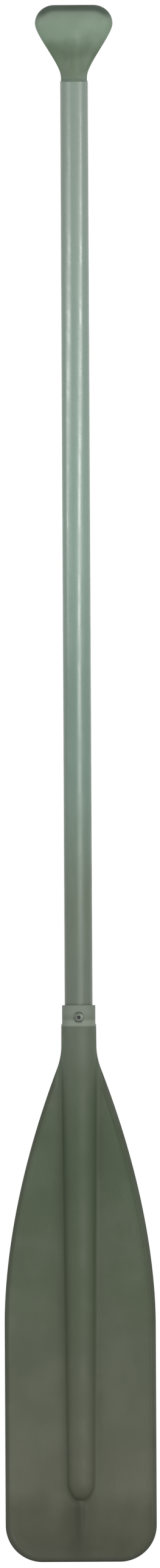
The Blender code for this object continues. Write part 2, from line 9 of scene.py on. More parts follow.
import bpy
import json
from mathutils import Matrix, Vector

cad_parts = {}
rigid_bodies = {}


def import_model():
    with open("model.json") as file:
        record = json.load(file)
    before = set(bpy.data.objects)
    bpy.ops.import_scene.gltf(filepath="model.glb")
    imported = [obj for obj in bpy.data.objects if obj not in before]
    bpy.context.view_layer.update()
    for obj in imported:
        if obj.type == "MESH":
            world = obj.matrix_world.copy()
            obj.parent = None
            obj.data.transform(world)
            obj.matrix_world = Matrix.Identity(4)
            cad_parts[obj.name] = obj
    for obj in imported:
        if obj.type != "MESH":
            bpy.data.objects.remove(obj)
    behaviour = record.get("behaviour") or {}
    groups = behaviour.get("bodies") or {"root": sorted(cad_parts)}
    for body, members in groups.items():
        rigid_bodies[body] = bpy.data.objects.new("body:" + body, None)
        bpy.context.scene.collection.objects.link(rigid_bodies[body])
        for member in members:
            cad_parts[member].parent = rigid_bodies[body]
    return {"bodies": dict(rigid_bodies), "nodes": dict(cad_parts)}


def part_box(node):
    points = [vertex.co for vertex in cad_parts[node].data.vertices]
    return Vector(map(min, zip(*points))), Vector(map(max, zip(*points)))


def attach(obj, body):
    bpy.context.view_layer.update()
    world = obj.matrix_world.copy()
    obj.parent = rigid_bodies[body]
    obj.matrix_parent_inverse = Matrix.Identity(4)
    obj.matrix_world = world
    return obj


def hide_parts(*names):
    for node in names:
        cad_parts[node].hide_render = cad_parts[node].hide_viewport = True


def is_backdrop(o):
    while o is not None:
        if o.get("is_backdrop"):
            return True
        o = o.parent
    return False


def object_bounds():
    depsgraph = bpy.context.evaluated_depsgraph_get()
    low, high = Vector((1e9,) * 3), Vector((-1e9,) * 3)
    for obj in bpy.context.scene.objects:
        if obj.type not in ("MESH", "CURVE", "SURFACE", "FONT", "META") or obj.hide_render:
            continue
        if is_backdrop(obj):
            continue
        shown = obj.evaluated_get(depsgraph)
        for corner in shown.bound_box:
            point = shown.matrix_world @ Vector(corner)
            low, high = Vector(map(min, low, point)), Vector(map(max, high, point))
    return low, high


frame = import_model()
cad_low, cad_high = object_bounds()
body = next(iter(frame["bodies"]))
print("the paddle's box:", [round(v, 4) for v in (*cad_low, *cad_high)])

# %% [markdown]
# The scripts that Blender runs need its own modules too: bpy for objects and materials, and bmesh for
# meshes that are still being shaped. Lengths are metres, so a millimetre gets a name to keep them readable.

# %% Modules and the unit
import json
from math import atan2, cos, hypot, pi, radians, sin, sqrt

import bmesh
import bpy
from mathutils import Matrix, Vector

MM = 0.001
print("one millimetre is", MM, "metres")

# %% [markdown]
# ## Camera
#
# The paddle is seen square on and from far away, with no perspective to speak of, so the camera is
# orthographic. Its scale is the height of the frame on the object. The paddle leans by a hair in the frame,
# its foot to the right. Leaning the paddle would spoil the CAD places, so the camera rolls instead.

# %% Place the camera
FRAME_PIXELS = (263, 2576)
PIXEL = 0.59578 * MM  # one pixel of the frame, measured on the paddle
FLOOR_PIXEL = 2566  # the row where the tip of the blade stands
AXIS_PIXEL = 127.4  # the column of the paddle's middle line, at the frame's middle row
LEAN = radians(0.29)
CAMERA_DISTANCE = 4.0


def in_scene(name, data):
    """A new object that shows in the scene."""
    shown = bpy.data.objects.new(name, data)
    bpy.context.scene.collection.objects.link(shown)
    return shown


camera = in_scene("Square on", bpy.data.cameras.new("Square on"))
camera.data.type = "ORTHO"
camera.data.ortho_scale = FRAME_PIXELS[1] * PIXEL
camera.location = (
    (FRAME_PIXELS[0] / 2 - AXIS_PIXEL) * PIXEL,
    -CAMERA_DISTANCE,
    (FLOOR_PIXEL - FRAME_PIXELS[1] / 2) * PIXEL,
)
camera.rotation_euler = (pi / 2, LEAN, 0)
bpy.context.scene.camera = camera
print("the frame is", round(camera.data.ortho_scale, 4), "m high")

# %% [markdown]
# ## Light
#
# Three soft lamps stand in front of the paddle. An upright lamp draws one streak down a glossy tube, as far
# down as the lamp itself reaches. Two such lamps beside the upper half draw two streaks with a darker band
# between them. On this paddle both streaks wander to the left on their way down. So the two lamps are long
# strips that lean to the right: each height of the tube mirrors the part of a lamp that is as high, and that
# part stands at another angle. The lower half gets one broad lamp, a little to the right: it draws no sharp
# streak, lights the blade evenly and leaves the left flanks of socket and spine a little darker. A fourth
# lamp stands straight behind, so that the paddle's back isn't dark. A tube mirrors what is behind it in a
# hair-thin line along each outline, which a bright lamp would fray, so reflections don't show that lamp.

# %% Stand three soft lamps in front and one behind
LAMP_DISTANCE = 2.4


def soft_lamp(name, turn, height, size, power, lean=0, mirrored=True):
    """A soft box that looks at the paddle's middle line, turned round it and leaning by these degrees."""
    lamp = bpy.data.lights.new(name, "AREA")
    lamp.shape = "RECTANGLE"
    lamp.size, lamp.size_y = size
    lamp.energy = power
    holder = in_scene(name, lamp)
    angle = radians(turn)
    holder.location = (LAMP_DISTANCE * sin(angle), -LAMP_DISTANCE * cos(angle), height)
    holder.rotation_euler = (pi / 2, radians(lean), angle)
    holder.visible_camera = False
    holder.visible_glossy = mirrored
    print(name, "stands", turn, "degrees round the paddle")


soft_lamp("Left lamp", turn=-60, height=1.40, size=(0.26, 2.20), power=28, lean=71)
soft_lamp("Right lamp", turn=38, height=1.33, size=(0.17, 2.30), power=37.5, lean=62)
soft_lamp("Low lamp", turn=18, height=0.45, size=(1.40, 0.80), power=15)
soft_lamp("Back lamp", turn=180, height=0.85, size=(1.20, 1.60), power=58, mirrored=False)

# %% [markdown]
# World, floor and finishes are all made of nodes. A small class holds a node tree while it is filled. It
# adds a node and fills its inputs in one go, each with a plain value or with the output of another node, so
# that a chain of nodes reads like a recipe.

# %% A node tree that is being filled


class Nodes:
    """A node tree that is being filled."""

    def __init__(self, tree):
        self.tree = tree

    def fill(self, node, inputs):
        """Gives each input, by name or number, a plain value or the output of another node."""
        for name, value in inputs.items():
            if isinstance(value, bpy.types.NodeSocket):
                self.tree.links.new(value, node.inputs[name])
            else:
                node.inputs[name].default_value = value

    def add(self, kind, inputs=None, **settings):
        """Adds a node, sets its own options and fills its inputs."""
        node = self.tree.nodes.new(kind)
        for name, value in settings.items():
            setattr(node, name, value)
        self.fill(node, inputs or {})
        return node

    def maths(self, operation, first, second=0.0, clamp=False):
        """What a Math node makes of one or two values."""
        inputs = {0: first, 1: second}
        return self.add("ShaderNodeMath", inputs, operation=operation, use_clamp=clamp).outputs[0]

    def vectors(self, operation, inputs):
        """The outputs of a Vector Math node."""
        return self.add("ShaderNodeVectorMath", inputs, operation=operation).outputs

    def soft(self, value, low, high, to_low=0.0, to_high=1.0):
        """A soft change from to_low to to_high while the value goes from low to high."""
        inputs = {"Value": value, "From Min": low, "From Max": high, "To Min": to_low, "To Max": to_high}
        return self.add("ShaderNodeMapRange", inputs, interpolation_type="SMOOTHSTEP").outputs["Result"]

    def noise(self, vector, scale, detail=2.0, roughness=0.5):
        """The outputs of a Noise Texture."""
        inputs = {"Vector": vector, "Scale": scale, "Detail": detail, "Roughness": roughness}
        return self.add("ShaderNodeTexNoise", inputs).outputs

    def background_rays(self):
        """1 for the rays that look for the background, and 0 for all others."""
        rays = self.add("ShaderNodeLightPath").outputs
        found = self.maths("ADD", rays["Is Camera Ray"], rays["Is Glossy Ray"], clamp=True)
        return self.maths("ADD", found, rays["Is Transmission Ray"], clamp=True)


print("a node can be added, set and linked in one go")

# %% [markdown]
# ## World
#
# The world fills the shadows with a little light. Rays that look for the background see it white: the
# camera's own, those that a gloss mirrors and those that pass through something clear.

# %% Light the shadows and whiten the background
FILL = 0.20  # how much light the world gives the paddle
WHITE = (1, 1, 1, 1)

world = bpy.data.worlds.new("White room")
world.use_nodes = True
world.node_tree.nodes.clear()
sky = Nodes(world.node_tree)
fill = sky.add("ShaderNodeBackground", {"Color": WHITE, "Strength": FILL}).outputs[0]
white = sky.add("ShaderNodeBackground", {"Color": WHITE}).outputs[0]
mix = sky.add("ShaderNodeMixShader", {0: sky.background_rays(), 1: fill, 2: white}).outputs[0]
sky.add("ShaderNodeOutputWorld", {"Surface": mix})
bpy.context.scene.world = world
bpy.context.scene.view_settings.view_transform = "Standard"
print("the world gives", FILL, "of white to surfaces")

# %% [markdown]
# ## A way to write finishes
#
# Colours are written as they look, from 0 to 255, and turned into the linear values that shaders use. A
# second class holds one material while it is built, with its shader and the object coordinates at hand. Its
# colour is built up in coats, as a painter would: the plain colour first, and then clouds, dirt and
# scratches, each through its own mask.

# %% Colours as seen


def seen(red, green, blue):
    """A colour as it looks on a screen, made linear by the sRGB curve."""
    linear = []
    for value in (red / 255, green / 255, blue / 255):
        linear.append(value / 12.92 if value <= 0.04045 else ((value + 0.055) / 1.055) ** 2.4)
    return (*linear, 1.0)


print("mid grey is", round(seen(128, 128, 128)[0], 3), "in linear light")

# %% A finish under construction
DRIFT_RANGE = (0.3, 0.7)  # the noise that moves stains lies mostly between these values


class Finish(Nodes):
    """One material while it is built. A viewer that can't read nodes shows its plain roughness."""

    def __init__(self, name, roughness, metallic=0.0, specular=0.5):
        self.material = bpy.data.materials.new(name)
        self.material.use_nodes = True
        super().__init__(self.material.node_tree)
        self.surface({"Roughness": roughness, "Metallic": metallic, "Specular IOR Level": specular})
        self.place = self.add("ShaderNodeTexCoord").outputs["Object"]
        self.x, _, self.z = self.add("ShaderNodeSeparateXYZ", {0: self.place}).outputs
        print("finish:", name)

    def surface(self, inputs):
        """Fills inputs of the shader."""
        self.fill(self.tree.nodes["Principled BSDF"], inputs)

    def effect(self, group, **values):
        """Places a shared effect in this material. Returns its outputs by name."""
        inputs = {name.replace("_", " ").title(): value for name, value in values.items()}
        return self.add("ShaderNodeGroup", inputs | {"Vector": self.place}, node_tree=group.tree).outputs

    def attribute(self, name):
        """A value that the mesh carries on its points."""
        return self.add("ShaderNodeAttribute", attribute_name=name).outputs["Fac"]

    def wandering(self, value, scale, reach):
        """The value, moved up or down from place to place by up to this reach."""
        drift = self.noise(self.place, scale, detail=3.0)["Fac"]
        return self.maths("ADD", value, self.soft(drift, *DRIFT_RANGE, -reach, reach))

    def mixed(self, share, first, second):
        """A colour between two others."""
        inputs = {"Factor": share, 6: first, 7: second}
        return self.add("ShaderNodeMix", inputs, data_type="RGBA").outputs[2]

    def along(self, value, *stops):
        """A colour that changes with a value, from (value, red, green, blue) stops in rising order."""
        low, high = stops[0][0], stops[-1][0]
        share = self.add("ShaderNodeMapRange", {"Value": value, "From Min": low, "From Max": high})
        node = self.add("ShaderNodeValToRGB", {"Fac": share.outputs["Result"]})
        ramp = node.color_ramp
        ramp.interpolation = "EASE"
        while len(ramp.elements) < len(stops):
            ramp.elements.new(0.5)
        for element, stop in zip(ramp.elements, stops):
            element.position = (stop[0] - low) / (high - low)
        for element, stop in zip(ramp.elements, stops):
            element.color = seen(*stop[1:])
        return node.outputs["Color"]

    def colour(self, base, *coats):
        """Colours the surface with coats over a base. A coat is (mask, strength, red, green, blue)."""
        for mask, strength, *coat in coats:
            base = self.mixed(self.maths("MULTIPLY", mask, strength), base, seen(*coat))
        self.surface({"Base Color": base})

    def rough(self, mask, low, high):
        """Makes the roughness follow a mask."""
        self.surface({"Roughness": self.soft(mask, 0.0, 1.0, low, high)})

    def bump(self, *heights):
        """Relief from (height output, depth in metres) pairs, one on top of the other."""
        inputs = {}
        for height, depth in heights:
            node = self.add("ShaderNodeBump", inputs | {"Height": height, "Distance": depth})
            inputs = {"Normal": node.outputs["Normal"]}
        self.surface(inputs)


print("a finish is a material with its object coordinates at hand")

# %% [markdown]
# ## Floor
#
# The paddle stands on a pale floor. Seen square on, the floor is edge-on and hides, but from any other
# side it catches the paddle's shadow. The lamps only graze it, so it also glows a little for rays that look
# for the background. A disc whose border grows transparent has no horizon line.

# %% Lay the floor
FLOOR_RADIUS = 3.0
FLOOR_SOLID = 1.0  # the disc is solid up to this far from the paddle
FLOOR_GREY = (0.80, 0.80, 0.80, 1)
FLOOR_GLOW = 0.45


def mesh_from(bm, name):
    """Turns a bmesh into a mesh and frees it."""
    mesh = bpy.data.meshes.new(name)
    bm.to_mesh(mesh)
    bm.free()
    return mesh


floor_paint = Finish("Pale floor", roughness=0.9, specular=0.1)
reach = floor_paint.vectors("LENGTH", {0: floor_paint.place})["Value"]
floor_paint.surface({
    "Base Color": FLOOR_GREY,
    "Alpha": floor_paint.soft(reach, FLOOR_SOLID, FLOOR_RADIUS, 1.0, 0.0),
    "Emission Color": floor_paint.background_rays(),
    "Emission Strength": FLOOR_GLOW,
})
bm = bmesh.new()
bmesh.ops.create_circle(bm, cap_ends=True, segments=96, radius=FLOOR_RADIUS)
floor = in_scene("Floor", mesh_from(bm, "Floor"))
floor.data.materials.append(floor_paint.material)
floor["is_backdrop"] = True
print("floor radius", FLOOR_RADIUS, "m")

# %% [markdown]
# ## Effects that the finishes share
#
# Blade, grip and sleeve all show the same few things: a fine satin grain, cloudy patches where the plastic
# cooled unevenly, and thin scratches. Each is a node group with inputs for its size, so that one good effect
# serves every material. The coordinates are the object's own, in metres, so a scale of 1000 means features
# of about a millimetre.

# %% A helper that starts a node group


def new_group(name, inputs, outputs):
    """A node group with float inputs and outputs. Returns its nodes, what it is given and its last node."""
    tree = bpy.data.node_groups.new(name, "ShaderNodeTree")
    tree.interface.new_socket("Vector", in_out="INPUT", socket_type="NodeSocketVector")
    for socket_name, value in inputs.items():
        socket = tree.interface.new_socket(socket_name, in_out="INPUT", socket_type="NodeSocketFloat")
        socket.default_value = value
    for socket_name in outputs:
        tree.interface.new_socket(socket_name, in_out="OUTPUT", socket_type="NodeSocketFloat")
    group = Nodes(tree)
    print("group:", name)
    return group, group.add("NodeGroupInput").outputs, group.add("NodeGroupOutput")


print("the helper for node groups is ready")

# %% Satin grain: the skin that a spark-eroded mould leaves
CLOUD_RANGE = (0.32, 0.68)  # nearly all of a noise lies between these values

satin, given, result = new_group(
    "Satin grain", {"Grain Scale": 2200.0, "Cloud Scale": 28.0}, ("Height", "Clouds")
)
grain = satin.noise(given["Vector"], given["Grain Scale"], detail=3.0, roughness=0.65)
clouds = satin.noise(given["Vector"], given["Cloud Scale"], detail=4.0, roughness=0.55)
satin.fill(result, {"Height": grain["Fac"], "Clouds": satin.soft(clouds["Fac"], *CLOUD_RANGE)})

# %% Scratches: thin marks that run mostly one way, with a slight wander
WANDER_SCALE, PATCH_SCALE = 18.0, 35.0
CREST = (0.66, 0.72)  # only the crests of the stretched noise become scratches
PATCH_LIMIT, PATCH_EDGE = 0.80, 0.12  # patches of noise hardly ever rise above the first

scratches, given, result = new_group(
    "Scratches", {"Across": 900.0, "Along": 14.0, "Turn": 0.0, "Wander": 0.002, "Share": 0.30}, ("Mask",)
)
drift = scratches.noise(given["Vector"], WANDER_SCALE)["Color"]
shift = scratches.vectors("SCALE", {0: drift, "Scale": given["Wander"]})[0]
bent = scratches.vectors("ADD", {0: given["Vector"], 1: shift})[0]
turn = {"Vector": bent, "Angle": given["Turn"]}
turned = scratches.add("ShaderNodeVectorRotate", turn, rotation_type="Y_AXIS").outputs[0]
scales = {"X": given["Across"], "Y": given["Across"], "Z": given["Along"]}
scales = scratches.add("ShaderNodeCombineXYZ", scales).outputs[0]
streaks = scratches.noise(scratches.vectors("MULTIPLY", {0: turned, 1: scales})[0], 1.0, detail=1.0)["Fac"]
limit = scratches.maths("SUBTRACT", PATCH_LIMIT, given["Share"])
above = scratches.maths("SUBTRACT", scratches.noise(bent, PATCH_SCALE)["Fac"], limit)
thin, patchy = scratches.soft(streaks, *CREST), scratches.soft(above, 0.0, PATCH_EDGE)
scratches.fill(result, {"Mask": scratches.maths("MULTIPLY", thin, patchy)})

# %% Parting line: the hair-thin ridge where the two halves of a mould met
parting, given, result = new_group("Parting line", {"Width": 0.25 * MM}, ("Height",))
axes = parting.add("ShaderNodeSeparateXYZ", {0: given["Vector"]}).outputs
share = parting.maths("DIVIDE", parting.maths("ABSOLUTE", axes["Y"]), given["Width"])
parting.fill(result, {"Height": parting.soft(share, 0.0, 1.0, 1.0, 0.0)})

# %% [markdown]
# ## Blade plastic
#
# The blade is olive polypropylene, browner and darker at its tip from mud and wet sand, and greener further
# up. It pales towards the socket, partly as painted light that grows towards the top. The collar is paler
# still, with a painted highlight on the ledge at its foot and a painted shade line just above that, and
# painted shade runs below the spine's tip. All this could be painted on by hand. Here the height picks the
# colour from a ramp, and a noise moves it up and down, so that the tones wander instead of lying in bands.
# Two attributes that the mesh will carry say where painted shade goes: along the rim, and in the crease
# beside the spine and below its tip.

# %% Blade plastic: olive, satin, worn where it meets stones
COLLAR_CHANGE = (0.5235, 0.5255)  # the heights between which the collar's colour takes over
KEEL_SHADE_SHIFT, KEEL_SHADE_REACH = 4 * MM, 21 * MM  # how far left the painted shade of the keel's flank lies, and how far out it fades
KEEL_SHADE_TOP = (50 * MM, 66 * MM)  # the heights between which it ends

olive = Finish("Olive blade plastic", roughness=0.6, specular=0.35)
# Browner at the tip; the paling towards the socket is partly painted light, which grows towards the top.
body_colour = olive.along(
    olive.wandering(olive.z, scale=16.0, reach=16 * MM),
    (0.000, 57, 59, 44),
    (0.040, 65, 67, 51),
    (0.080, 78, 81, 66),
    (0.300, 65, 75, 56),
    (0.400, 60, 72, 51),
    (0.524, 80, 89, 75),
)
# The collar's own paler tone, with a painted highlight on the ledge at its foot and a painted shade line just
# above it.
collar_colour_and_light = olive.along(
    olive.z,
    (0.5285, 120, 129, 116),
    (0.5320, 101, 109, 97),
    (0.5380, 112, 120, 109),
)
at_collar = olive.soft(olive.z, *COLLAR_CHANGE)
skin = olive.effect(satin, grain_scale=1900.0, cloud_scale=22.0)
down = olive.effect(scratches, across=1300.0, along=26.0, turn=0.12, share=0.26)
aslant = olive.effect(scratches, across=1500.0, along=40.0, turn=-0.75, share=0.20)
marks = olive.maths("ADD", down["Mask"], aslant["Mask"])
aside = olive.maths("ABSOLUTE", olive.maths("ADD", olive.x, KEEL_SHADE_SHIFT))
beside, below = olive.soft(aside, 0.0, KEEL_SHADE_REACH, 1.0, 0.0), olive.soft(olive.z, *KEEL_SHADE_TOP, 1.0, 0.0)
olive.colour(
    olive.mixed(at_collar, body_colour, collar_colour_and_light),
    (skin["Clouds"], 0.10, 58, 66, 48),
    # painted shade in the crease beside the spine, and below the spine's tip
    (olive.attribute("crease"), 0.12, 40, 44, 32),
    # painted shade: the keel's left flank and the shadow below the spine's tip, a little left of the middle
    (olive.maths("MULTIPLY", beside, below), 0.65, 40, 43, 28),
    (marks, 0.10, 140, 146, 130),
    # painted shade along the blade's rounded rim, where it turns away from the light
    (olive.soft(olive.attribute("rim"), 0.25, 0.60), 0.70, 47, 51, 39),
)
olive.rough(skin["Clouds"], 0.54, 0.66)
seam = olive.effect(parting)
olive.bump((skin["Height"], 0.06 * MM), (marks, -0.02 * MM), (seam["Height"], 0.12 * MM))

# %% [markdown]
# ## Blade
#
# The blade is one moulding: a thin web with a bead along its rim, a long round spine down its middle, and a
# socket where the tube goes in. It could be a turned spine joined to a flat plate, but then the two would
# meet in a hard line, and a moulding has a fillet there. So it is one skin. Imagine spokes that run from the
# spine's middle line out to the edge. In the plane of a spoke, every section looks alike: an arc over the
# spine, a fillet, the flat web, the bead and the rounded edge. Laying such sections side by side gives a
# quarter of the blade, and two mirrors give the rest.

# %% The blade's sizes
_, blade_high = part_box("blade")
tube_low, tube_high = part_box("shaft_tube")
GAP = 0.3 * MM  # between pieces that rest on each other
WEB = 1.9 * MM  # half the web's thickness
TIP_HEIGHT = 59 * MM  # where the spine ends
TIP_LENGTH = 20 * MM  # its rounded end is longer than half a ball
STRAIGHT_TOP = 0.235  # where the parallel sides start to draw in
SHOULDER_TOP = 0.497
NECK_TOP = 0.513  # where the web has gone and the plain round socket starts
COLLAR_HEIGHT, LEDGE_HEIGHT = 18 * MM, 1.2 * MM
TIP_WALL, COLLAR_WALL, SOCKET_WALL = 0.7 * MM, 3.3 * MM, 4.1 * MM  # the plastic round the bore
CORNER_RADIUS = 36 * MM
SHOULDER_POWER = 1.8  # 1 would draw the sides in along a straight line
SHOULDER_SINK = 1.3 * MM  # how far into the spine the sides are aimed
NECK_BLEND = 4.5 * MM

half_width, spine_root, socket_mouth = blade_high
bore_radius = tube_high.x + GAP
spine_tip = bore_radius + TIP_WALL
collar_radius = bore_radius + COLLAR_WALL
socket_radius = bore_radius + SOCKET_WALL
tip_centre = TIP_HEIGHT + TIP_LENGTH
collar_low = socket_mouth - COLLAR_HEIGHT
ledge_low = collar_low - LEDGE_HEIGHT
print("blade:", round(2 * half_width, 4), "wide,", round(socket_mouth, 4), "long")

# %% The edge of the blade


def soft_larger(first, second, blend):
    """The larger of two lengths, with a soft change-over."""
    near = max(blend - abs(first - second), 0.0) / max(blend, 1e-9)
    return max(first, second) + near * near * blend / 4


def even_steps(start, end, count):
    """This many even steps from start, without the end."""
    return [start + (end - start) * i / count for i in range(count)]


def spine_radius(height):
    """The spine grows up to the shoulders, and runs on into the socket."""
    if height < SHOULDER_TOP:
        share = max((height - tip_centre) / (SHOULDER_TOP - tip_centre), 0.0)
        return spine_tip + (spine_root - spine_tip) * share
    share = (height - SHOULDER_TOP) / (ledge_low - SHOULDER_TOP)
    return spine_root + (socket_radius - spine_root) * share


def side(height):
    """Half the blade's width. The sides draw in ever faster, and then run softly into the socket."""
    share = max((height - STRAIGHT_TOP) / (SHOULDER_TOP - STRAIGHT_TOP), 0.0)
    end = spine_root - SHOULDER_SINK
    drawn = half_width - (half_width - end) * share**SHOULDER_POWER
    return soft_larger(drawn, spine_radius(height), NECK_BLEND)


print("half the blade, at mid-height:", round(side(socket_mouth / 2), 4))

# %% Spokes from the spine out to the edge
KEEL_ZONE, KEEL_SPOKES = 12 * MM, 14  # spokes stand closer together where they cross the keel
NECK_LOW = 0.455  # and from here up, where the sides run into the neck
TIP_SPOKES, CORNER_SPOKES, FOOT_SPOKES = 8, 20, 8
SIDE_SPOKES = ((tip_centre, STRAIGHT_TOP, 14), (STRAIGHT_TOP, NECK_LOW, 24), (NECK_LOW, NECK_TOP, 32))


def side_spoke(height):
    """(edge, direction square to the edge, height of the spoke's inner end) on the side."""
    little = 0.1 * MM
    slope = (side(height + little) - side(height - little)) / (2 * little)
    return Vector((side(height), height)), Vector((1.0, -slope)).normalized(), height


def spokes():
    """From the middle of the tip, round the corner and up the side to the socket."""
    flat = half_width - CORNER_RADIUS
    made = []
    for x in even_steps(0.0, KEEL_ZONE, KEEL_SPOKES) + even_steps(KEEL_ZONE, flat, TIP_SPOKES):
        made.append((Vector((x, 0.0)), Vector((0.0, -1.0)), tip_centre))
    corner = Vector((flat, CORNER_RADIUS))
    for turn in even_steps(-pi / 2, 0.0, CORNER_SPOKES):
        outward = Vector((cos(turn), sin(turn)))
        made.append((corner + CORNER_RADIUS * outward, outward, tip_centre))
    for height in even_steps(CORNER_RADIUS, tip_centre, FOOT_SPOKES):
        made.append((Vector((half_width, height)), Vector((1.0, 0.0)), tip_centre))
    for start, end, count in SIDE_SPOKES:
        made.extend(side_spoke(height) for height in even_steps(start, end, count))
    return made


print(len(spokes()), "spokes on the web")

# %% Heights along a section
RIM_RISE, RIM_LAND = 0.7 * MM, 0.9 * MM  # of the bead over the web, and half the flat on the very edge
BEAD_FADE_START = 0.44  # from here up the bead sinks away, so that it doesn't pucker the neck
EDGE_ROUNDING, BEAD_END, SLOPE_END = 2.1, 4.5, 7.0  # in mm from the edge
RIM_STEPS = [0.0, 0.08, 0.25, 0.55, 1.0, 1.6, EDGE_ROUNDING]  # across the rounded edge
RIM_STEPS += [3.2, BEAD_END, 5.0, 5.6, 6.2, SLOPE_END]  # along the bead and down its inner slope
FILLET = 4.4 * MM
WEB_STEPS, FILLET_STEPS, ARC_STEPS = 9, 7, 14
ARC_START = len(RIM_STEPS) + WEB_STEPS - 1 + FILLET_STEPS  # the first point on the arc over the spine


def fade(value, start, length):
    """1 up to start, then softly down to 0 over the length."""
    share = min(max((value - start) / length, 0.0), 1.0)
    return 1.0 - share * share * (3.0 - 2.0 * share)


def rim_height(step, rise):
    """Half the thickness at this many millimetres from the edge, where the bead rises this much."""
    height = WEB + rise * fade(step, BEAD_END, SLOPE_END - BEAD_END)
    left = 1.0 - min(step / EDGE_ROUNDING, 1.0)
    land = RIM_LAND * min(step / RIM_STEPS[1], 1.0)
    return land + (height - land) * sqrt(1.0 - left * left)


def fillet_centre(radius):
    """How far out, and how high, the middle of the fillet lies."""
    high = WEB + FILLET
    return sqrt((radius + FILLET) ** 2 - high**2), high


print("the bead is", round(2 * rim_height(BEAD_END, RIM_RISE) / MM, 2), "mm thick")

# %% The spine's end, the keel below it and the neck
KEEL_RISE, KEEL_REACH, KEEL_END, KEEL_BLEND = 2.4 * MM, 6.0 * MM, 8 * MM, 1.0 * MM
STRETCH_FADE = 52 * MM  # the web is drawn out with the spine's end up to this far from it
TIP_SHADE_REACH, TIP_SHADE_SHARE = 12 * MM, 0.4  # painted shade lies below the spine's tip, this far to both sides


def drawn_out(place):
    """Moves a place below the spine's centre down, so that the half ball there becomes longer."""
    below = place - Vector((0.0, tip_centre))
    if below.y >= 0.0:
        return place
    extra = (TIP_LENGTH / spine_tip - 1.0) * fade(below.length, spine_tip + FILLET, STRETCH_FADE)
    return place + Vector((0.0, below.y * extra))


def settled(point, i, middle, aim, radius, lean, squeeze):
    """Draws out the spine's end, adds the keel, and shrinks the web into the round socket at the neck."""
    place, height, rim, dark = point
    place = drawn_out(place)
    x, z = place
    keel = KEEL_RISE * fade(x, 0.0, KEEL_REACH) * (1.0 - fade(z, KEEL_END, TIP_HEIGHT - KEEL_END))
    if z < tip_centre and keel > 0.0:
        height = soft_larger(height, min(height, WEB) + keel, min(keel, KEEL_BLEND))
    # Painted shade below the spine's tip goes into the same value as the crease's painted shade.
    if z < TIP_HEIGHT + FILLET:
        dark = max(dark, fade(x, 0.0, TIP_SHADE_REACH) * TIP_SHADE_SHARE)
    if i < ARC_START:
        turn = pi / 2 + (lean - pi / 2) * i / ARC_START
        round_place = middle + aim * radius * sin(turn)
        place = place.lerp(round_place, squeeze)
        height += (radius * cos(turn) - height) * squeeze
    keep = 1.0 - squeeze
    return place, height, rim * keep, dark * keep


print("the spine's end is drawn out to", round(TIP_LENGTH / MM), "mm")

# %% The section along a spoke
CREASE_REACH = 7 * MM  # the crease's painted shade fades out over this much of the web, and twice as much at the tip
CREASE_CLIMB = 0.7  # and over this angle up the spine


def section(spoke, radius):
    """(place, height, rim, crease) from the edge to the crest of the spine."""
    edge, outward, inner = spoke
    middle = Vector((0.0, inner))
    aim = (edge - middle).normalized()
    out_by, high = fillet_centre(radius)
    lean = atan2(out_by, high)  # the angle, from the crest, at which the arc meets the fillet
    least = out_by + SLOPE_END * MM
    width = (edge - middle).length
    squeeze = min(max((least - width) / (least - radius), 0.0), 1.0)
    start = middle + aim * max(width, least)
    rise = RIM_RISE * fade(inner, BEAD_FADE_START, SHOULDER_TOP - BEAD_FADE_START)
    points = []
    for step in RIM_STEPS:
        points.append((start - outward * step * MM, rim_height(step, rise), 1 - step / SLOPE_END, 0.0))
    last, foot = points[-1][0], middle + aim * out_by
    reach = CREASE_REACH * (1.0 + max(-aim.y, 0.0))
    for share in even_steps(0.0, 1.0, WEB_STEPS)[1:]:
        place = last.lerp(foot, share)
        points.append((place, WEB, 0.0, fade((place - foot).length, 0.0, reach)))
    for turn in even_steps(0.0, lean, FILLET_STEPS):
        place = foot - aim * FILLET * sin(turn)
        points.append((place, high - FILLET * cos(turn), 0.0, 1.0))
    for turn in even_steps(lean, 0.0, ARC_STEPS) + [0.0]:
        place = middle + aim * radius * sin(turn)
        points.append((place, radius * cos(turn), 0.0, fade(lean - turn, 0.0, CREASE_CLIMB)))
    return [settled(point, i, middle, aim, radius, lean, squeeze) for i, point in enumerate(points)]


print("points along a section:", len(section(spokes()[0], spine_tip)))

# %% [markdown]
# Above the neck the sections are plain quarter circles, so the socket, its slimmer collar, the mouth and the
# bore are one list of radii and heights. A pair of rings a few tenths of a millimetre apart at each edge
# keeps the edge tight, and still lets it catch a soft line of light.

# %% The rings of the socket and the bore
COLLAR_ROUNDING = 0.8 * MM
LEDGE_SOFT, BELOW_LEDGE, ABOVE_LEDGE = 0.1 * MM, 0.3 * MM, 0.4 * MM  # the pairs at the ledge's edges
MOUTH_CHAMFER, FLOOR_CHAMFER = 0.3 * MM, 0.2 * MM
bore_floor = tube_low.z - GAP


def socket_rings():
    """(radius, height) rings from the neck up the socket, over its mouth and down the bore."""
    rings = [(spine_radius(NECK_TOP), NECK_TOP), (socket_radius, ledge_low - BELOW_LEDGE)]
    rings += [(socket_radius - LEDGE_SOFT, ledge_low), (collar_radius + LEDGE_SOFT, collar_low)]
    rings += [(collar_radius, collar_low + ABOVE_LEDGE)]
    for turn in even_steps(0.0, pi / 2, 5) + [pi / 2]:
        out_by = collar_radius - COLLAR_ROUNDING * (1 - cos(turn))
        rings.append((out_by, socket_mouth - COLLAR_ROUNDING * (1 - sin(turn))))
    rings += [(bore_radius + MOUTH_CHAMFER, socket_mouth), (bore_radius, socket_mouth - MOUTH_CHAMFER)]
    rings += [(bore_radius, bore_floor + FLOOR_CHAMFER), (bore_radius - FLOOR_CHAMFER, bore_floor)]
    return rings + [(0.0, bore_floor)]


def ring_section(radius, height, lean):
    """A quarter circle with as many points as a section of the web."""
    turns = even_steps(pi / 2, lean, ARC_START) + even_steps(lean, 0.0, ARC_STEPS) + [0.0]
    return [(Vector((radius * sin(t), height)), radius * cos(t), 0.0, 0.0) for t in turns]


print(len(socket_rings()), "rings from the neck into the bore")

# %% Lay the sections side by side
MERGE = 0.01 * MM


